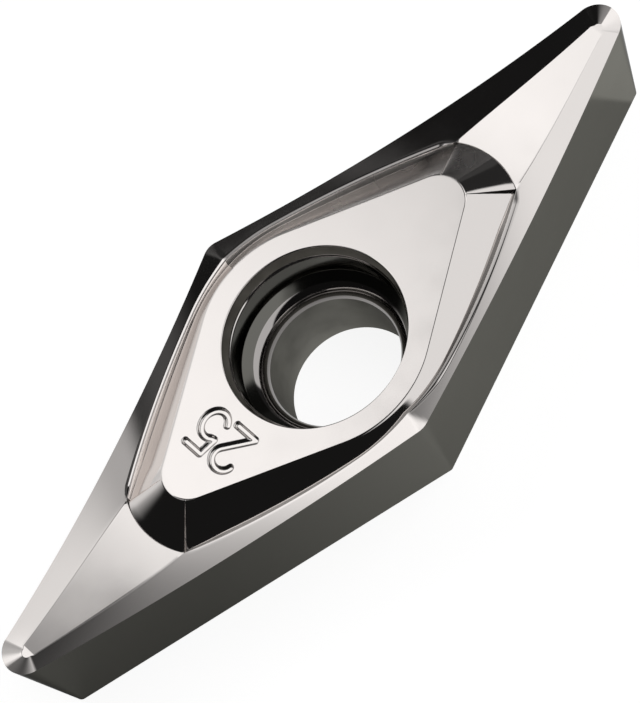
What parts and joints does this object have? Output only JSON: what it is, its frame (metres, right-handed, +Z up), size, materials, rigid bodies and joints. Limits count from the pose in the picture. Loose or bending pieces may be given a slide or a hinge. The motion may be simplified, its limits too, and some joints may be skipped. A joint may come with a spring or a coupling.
{
  "type": "carbide turning insert",
  "caption": "Rhombic carbide turning insert with rounded acute noses, dipped cutting edges, a raised flat centre in a groove and a screw hole with a seat for the head.",
  "frame": {"origin": "hole axis on the flat seat face, at the bottom of the insert", "axes": "+X along the long diagonal to one acute nose, +Y along the short diagonal, +Z up out of the cutting face along the hole"},
  "size_m": [0.028, 0.01, 0.0048],
  "materials": {
    "carbide": "polished, uncoated cemented carbide"
  },
  "bodies": {
    "root": {"insert_body": "carbide"}
  },
  "joints": []
}
